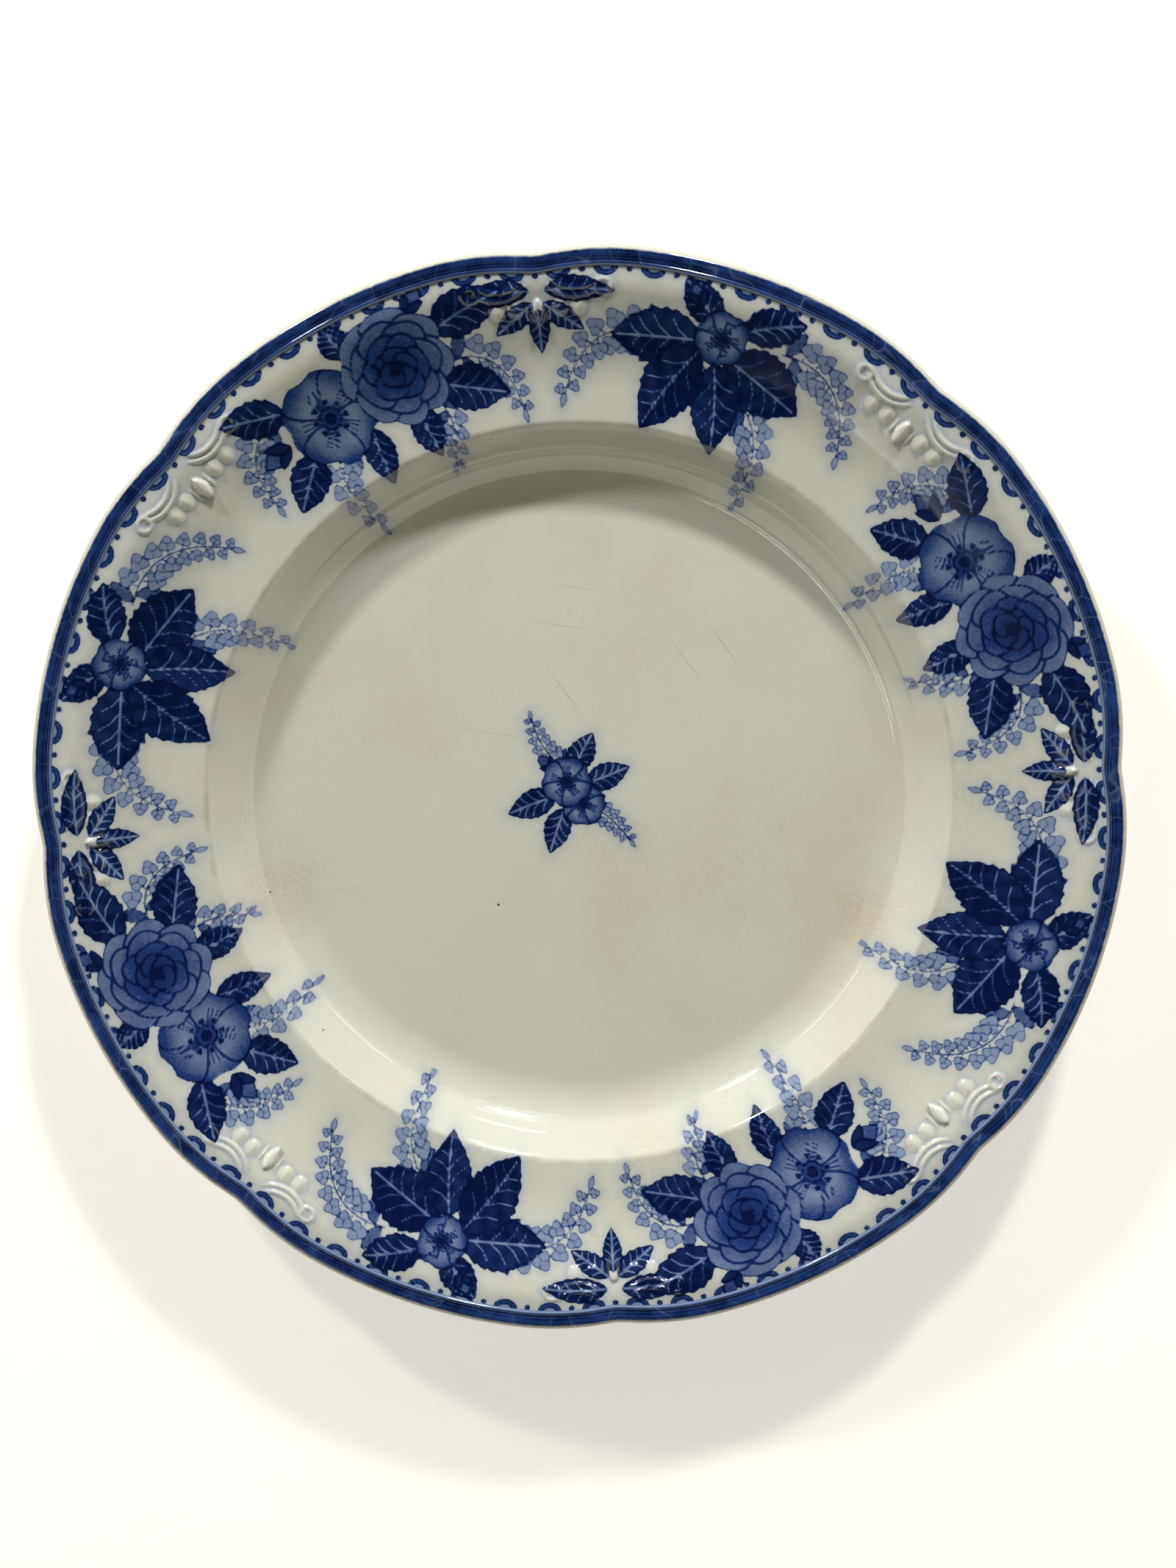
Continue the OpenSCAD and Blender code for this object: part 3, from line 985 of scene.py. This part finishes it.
def bareGlaze(node, place, noise, edgeIn):
    # what lies over the ivory, from below, as amounts and colours
    warm = node("MapRange", (noise["warmth"], 0.4, 0.75, 0, 0.5), **smooth)
    layers = [(warm, glaze["warm"])]

    # cooler near the print, and haze where the blue ran
    offInk = node("Math", (edgeIn, 0.0), operation="MINIMUM")
    reach = glaze["hazeReach"]
    for reach, amount, shade in ((4 * reach, 0.4, "cool"), (reach, 0.36, "haze")):
        haze = node("Math", (offInk, reach), operation="DIVIDE")
        haze = node("Math", (haze,), operation="EXPONENT")
        layers.append((node("Math", (haze, amount), **times), glaze[shade]))

    # thin and pale over the moulding, blue where it pools, and darker there as painted shade
    raised = node("Attribute", (), "Fac", attribute_name="raised")
    layers.append((node("MapRange", (raised, 0.1, 0.6, 0, 0.5)), glaze["thin"]))
    pooledAndShade = node("Attribute", (), "Fac", attribute_name="pooledAndShade")
    layers.append((node("Math", (pooledAndShade, 0.55), **times), glaze["poolAndShade"]))

    # crazing shows faintly in patches
    cells = {"Vector": place, "Scale": perMetre(glaze["crazeCell"])}
    cells = node("TexVoronoi", cells, "Distance", feature="DISTANCE_TO_EDGE")
    crack = node("MapRange", (cells, 0.0, 0.04, 1, 0))
    patches = node("MapRange", (noise["crazed"], 0.5, 0.7, 0.02, 0.14))
    layers.append((node("Math", (crack, patches), **times), glaze["dirt"]))

    # a patchy darker brown band along the crease, only on the face
    flat = node("VectorMath", (place, (1, 1, 0)), **times)
    radius = node("VectorMath", (flat,), "Value", operation="LENGTH")
    off = node("Math", (radius, (plate["creaseRadius"] + 0.3) * mm), operation="SUBTRACT")
    off = node("Math", (off,), operation="ABSOLUTE")
    off = node("MapRange", (off, 0, glaze["creaseBandReach"] * mm, 1, 0), **smooth)
    darkBrown = node("MapRange", (noise["darkBrown"], 0.45, 0.7, 0.0, 0.4))
    darkBrown = node("Math", (darkBrown, off), **times)
    onFace = node("Math", (node("SeparateXYZ", (place,), 2), 0.015), operation="GREATER_THAN")
    layers.append((node("Math", (darkBrown, onFace), **times), glaze["dirt"]))
    return [(amount, linear(shade)) for amount, shade in layers]


def ironSpecks(node, place):
    # specks of iron and of stray cobalt burnt into the glaze: how much, and their colour
    cells = {"Vector": place, "Scale": perMetre(glaze["speckSpacing"])}
    dots = node("TexVoronoi", cells, "Distance")
    which = node("SeparateColor", (dots.node.outputs["Color"],))
    size = node("MapRange", (which, 0.5, 1.0, 0.0, 0.032))
    speck = node("Math", (dots, size), operation="LESS_THAN")
    blue = node("Math", (which.node.outputs[1], 0.7), operation="GREATER_THAN")
    shades = {0: blue, 6: linear(glaze["speck"]), 7: linear(glaze["middle"])}
    return speck, node("Mix", shades, 2, data_type="RGBA")


def glazedWare():
    made, node, place, noise = newMaterial("cobalt_printed_glazed_earthenware", glaze["patterns"])
    edgeIn, tone, line, vein = (
        node("Attribute", (), "Fac", attribute_name="ink_" + name) for name in fields
    )
    tremble = node("Math", (noise["tremble"], 0.5), operation="SUBTRACT")
    edgeIn = node("Math", (tremble, 0.45, edgeIn), **timesPlus)
    inside = node("MapRange", (edgeIn, *glaze["bleed"]), **smooth)

    scratch = hairScratches(node, place)
    speck, speckColor = ironSpecks(node, place)
    color = linear(glaze["ivory"])
    for amount, over in (
        *bareGlaze(node, place, noise, edgeIn),
        (teaStains(node, place, noise), linear(glaze["stain"])),
        (node("Math", (scratch, 0.35), **times), linear(glaze["dirt"])),
        (inside, inkColor(node, noise, tone, line, vein)),
        (speck, speckColor),
    ):
        color = node("Mix", {0: amount, 6: color, 7: over}, 2, data_type="RGBA")

    rough = node("Math", (noise["gloss"], 0.06, glaze["rough"] - 0.03), **timesPlus)
    rough = node("Math", (scratch, 0.25, rough), **timesPlus)
    # the glaze lies in slow waves with a fine orange peel, and pin holes at the specks
    high = node("Math", (noise["peel"], 0.05, noise["waves"]), **timesPlus)
    high = node("Math", (speck, -0.2, high), **timesPlus)
    bump = node("Bump", {"Strength": 0.16, "Distance": 0.0004, "Height": high})
    node("OutputMaterial", (node("BsdfPrincipled", {
        "Base Color": color, "Roughness": rough, "IOR": glaze["ior"], "Normal": bump,
    }),))
    return made


# The edge: cobalt laid under the glaze with a brush on a turning wheel, so the eye sees fine
# lines along it, a painted highlight on the bead, and bare ware where the lip was wiped
edgeBand = {
    # the pale colour serves both the pale veins and the painted highlight on the bead
    "pale": "7486a6",
    "fresh": "223f78",
    "lip": "bfc0b2",
    # lengths in mm
    "bead": (0.35, 0.65),  # across the band, where the painted highlight on the bead fades
    "wiped": (3.9, 4.5),  # and where the blue thins out on the lip
    "under": (5.2, 6.5),  # and where the ivory of the underside starts
    "brushLines": 1 / 2.6,
    "veinSize": 8.0,
    "patterns": {  # size in mm, detail and roughness
        "ragged": (2.4, 3, 0.6),
        "clouds": (6, 4, 0.65),
        "bent": (14, 1, 0.5),
        "some": (9, 1, 0.5),
    },
}


def edgeWare():
    made, node, place, noise = newMaterial("brushed_cobalt_edge_under_glaze", edgeBand["patterns"])
    across = node("Attribute", (), "Fac", attribute_name="across")
    wandering = node("Math", (noise["ragged"], 0.7, across), **timesPlus)
    wiped = node("MapRange", (wandering, *edgeBand["wiped"]), **smooth)

    # brush lines run along the band, and pale veins cross it
    lines = node("Math", (across, 1 / edgeBand["brushLines"]), **times)
    brushed = node("TexNoise", {"W": lines, "Detail": 3, "Scale": 1}, noise_dimensions="1D")
    dark = node("Math", (brushed, noise["clouds"]), operation="ADD")
    dark = node("MapRange", (dark, 0.75, 1.25), **smooth)
    bent = node("VectorMath", {0: noise["bent"].node.outputs["Color"], 3: 0.02}, operation="SCALE")
    bent = node("VectorMath", (place, bent), operation="ADD")
    cells = {"Vector": bent, "Scale": perMetre(edgeBand["veinSize"])}
    cells = node("TexVoronoi", cells, "Distance", feature="DISTANCE_TO_EDGE")
    crossing = node("MapRange", (cells, 0.0, 0.035, 1, 0))
    some = node("MapRange", (noise["some"], 0.4, 0.65, 0.0, 0.4))
    crossing = node("Math", (crossing, some), **times)
    # a painted highlight: pale on the bead's inner side, all round the band
    line = node("MapRange", (across, *edgeBand["bead"], 0.85, 0))
    pale = node("Math", (crossing, line), operation="MAXIMUM")

    under = node("MapRange", (across, *edgeBand["under"]))
    bare = {0: under, 6: linear(edgeBand["lip"]), 7: linear(glaze["ivory"])}
    bare = node("Mix", bare, 2, data_type="RGBA")
    fresh, paleVeinsAndHighlight = linear(edgeBand["fresh"]), linear(edgeBand["pale"])
    color = linear(glaze["deep"])
    for amount, over in ((dark, fresh), (pale, paleVeinsAndHighlight), (wiped, bare)):
        color = node("Mix", {0: amount, 6: color, 7: over}, 2, data_type="RGBA")
    look = {"Base Color": color, "Roughness": glaze["rough"], "IOR": glaze["ior"]}
    node("OutputMaterial", (node("BsdfPrincipled", look),))
    return made


# The foot: glazed on its sides, and wiped bare underneath, where the biscuit is dry and grimy
footFinish = {
    "biscuit": "bfa983",
    "darkBrown": "6f5f48",
    "wiped": (0.0, 0.2),  # mm above the table, from bare to glazed
    "dry": 0.75,
    "patterns": {"wander": (3, 3, 0.5), "grit": (1.6, 5, 0.75)},  # size in mm, detail, roughness
}


def footWare():
    made, node, place, noise = newMaterial("glazed_foot_wiped_to_biscuit", footFinish["patterns"])
    high = node("SeparateXYZ", (place,), 2)
    high = node("Math", (noise["wander"], -0.0004, high), **timesPlus)
    low, top = footFinish["wiped"]
    bare = node("MapRange", (high, low * mm, top * mm, 1, 0), **smooth)
    grit = node("MapRange", (noise["grit"], 0.4, 0.75, 0, 0.8))
    biscuit = {0: grit, 6: linear(footFinish["biscuit"]), 7: linear(footFinish["darkBrown"])}
    biscuit = node("Mix", biscuit, 2, data_type="RGBA")
    color = {0: bare, 6: linear(glaze["ivory"]), 7: biscuit}
    color = node("Mix", color, 2, data_type="RGBA")
    rough = node("MapRange", (bare, 0, 1, glaze["rough"], footFinish["dry"]))
    bump = node("Bump", {"Strength": 0.4, "Distance": 0.0002, "Height": grit})
    look = {"Base Color": color, "Roughness": rough, "IOR": glaze["ior"], "Normal": bump}
    node("OutputMaterial", (node("BsdfPrincipled", look),))
    return made


for piece, material, slot in (
    (body, glazedWare(), "glazed_body"),
    (band, edgeWare(), "cobalt_edge"),
    (foot, footWare(), "glazed_body"),
):
    piece.data.materials.append(material)
    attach(piece, "root")
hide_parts("plate_body", "rim_ornaments")
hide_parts("edge_band")
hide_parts("foot_ring")
print("materials ready")

# Two lamps beyond the top of the picture light it; thin tubes draw the fine lines in its gloss
lamps = (  # azimuth from +Y, elevation, length and width in metres, watts
    (16.5, 28.5, 0.135, 0.12, 25),
    (-30.5, 28.5, 0.12, 0.12, 15.8),
    (16.5, 21.7, 0.42, 0.01, 0.4),
    (16.5, 38, 0.5, 0.01, 0.4),
    (-54, 29, 0.5, 0.012, 0.7),
    (52, 29, 0.5, 0.012, 0.7),
    (228, 46, 1.0, 0.01, 1.2),
    (228, 53, 1.0, 0.01, 1.2),
)
lampDistance = 1.8
for azimuth, elevation, length, width, watts in lamps:
    lampData = bpy.data.lights.new("lamp", "AREA")
    lampData.shape = "RECTANGLE"
    lampData.size, lampData.size_y = length, width
    lampData.energy = watts
    lamp = added("lamp", lampData)
    a, e = math.radians(azimuth), math.radians(elevation)
    way = Vector((math.sin(a) * math.cos(e), math.cos(a) * math.cos(e), math.sin(e)))
    side = Vector((0, 0, 1)).cross(way).normalized()
    lamp.matrix_world = placed(way * lampDistance, side, way.cross(side), way)
room = {"color": "fff1d8", "strength": 0.03}  # what little light comes from all round
world = bpy.data.worlds.new("room")
bpy.context.scene.world = world
world.use_nodes = True
inputs = world.node_tree.nodes["Background"].inputs
inputs["Color"].default_value = linear(room["color"])
inputs["Strength"].default_value = room["strength"]

# A sheet of white paper under the plate, and curving up round it far outside the picture
sheet = {
    "low": -0.00005,  # metres; a hair under the foot
    "radius": 2.0,
    "curve": 0.3,
    "top": 1.5,
    "sides": 96,
    "color": "e6e0cf",
    "near": (0.35, 0.5),  # radius, and how far what the camera sees there is lifted to white
    "outside": (1.2, 0.95),
}


def paperSheet():
    radius, curve, low, sides = (sheet[name] for name in ("radius", "curve", "low", "sides"))
    section = [(radius - curve, low)]
    for a in np.radians(steps(0, 90, 10)[1:]):
        section.append((radius - curve * (1 - math.sin(a)), low + curve * (1 - math.cos(a))))
    section.append((radius, sheet["top"]))
    points, faces = [(0, 0, low)], []
    for r, z in section:
        for a in np.linspace(0, 2 * math.pi, sides, endpoint=False):
            points.append((r * math.cos(a), r * math.sin(a), z))
    for side in range(sides):
        after = (side + 1) % sides
        faces.append((0, 1 + side, 1 + after))
        for k in range(1, 1 + (len(section) - 1) * sides, sides):
            faces.append((k + side, k + sides + side, k + sides + after, k + after))
    mesh = bpy.data.meshes.new("paper_sheet")
    mesh.from_pydata(points, [], faces)
    mesh.shade_smooth()
    return added("paper_sheet", mesh)


def paper():
    # matt paper; what is seen of it, directly and in the gloss, is lifted to white
    made, node, place, noise = newMaterial("white_paper_sheet", {})
    seen = 0.0
    for kind in ("Is Camera Ray", "Is Glossy Ray", "Is Transmission Ray"):
        seen = node("Math", (seen, node("LightPath", (), kind)), operation="MAXIMUM")
    radius = node("VectorMath", (place,), "Value", operation="LENGTH")
    (near, lift), (outside, most) = sheet["near"], sheet["outside"]
    lift = node("MapRange", (radius, near, outside, lift, most))
    node("OutputMaterial", (node("BsdfPrincipled", {
        "Base Color": linear(sheet["color"]),
        "Roughness": 0.9,
        "Emission Color": linear("ffffff"),
        "Emission Strength": node("Math", (seen, lift), **times),
    }),))
    return made


floor = paperSheet()
floor.data.materials.append(paper())
print("lamps and paper ready")

bpy.context.scene.view_settings.view_transform = "Standard"


def measurePoints():
    # how far each thing shows from its image point
    lip = allPoints(band).reshape(len(bandSection), -1, 3)
    face = allPoints(body)[1 : 1 + frontR.size].reshape(*frontR.shape, 3)
    crease = np.argmin(np.abs(frontR[:, 0] - plate["creaseRadius"]))
    low = 6 * perLobe  # the notch on the plate's lower side
    outermost = np.argmax([r[low] for r, z in bandSection])
    shown = {"notchBottom": shownAt(lip[outermost, low][None])[0]}
    for name, points in (("edge", lip.reshape(-1, 3)), ("crease", face[crease])):
        seen = shownAt(points)
        for end, (x, y) in (("Left", seen.min(0)), ("Right", seen.max(0))):
            shown[name + end] = (x, None)
        for end, (x, y) in (("Top", seen.min(0)), ("Bottom", seen.max(0))):
            shown[name + end] = (None, y)
    for name in (*stains, "scratches"):
        shown[name] = shownAt(np.array([placeAt(name)]))[0]
    return {
        name: [None if b is None else round(float(a - b), 1) for a, b in zip(shown[name], point)]
        for name, point in imagePoints.items()
    }


measurePoints()
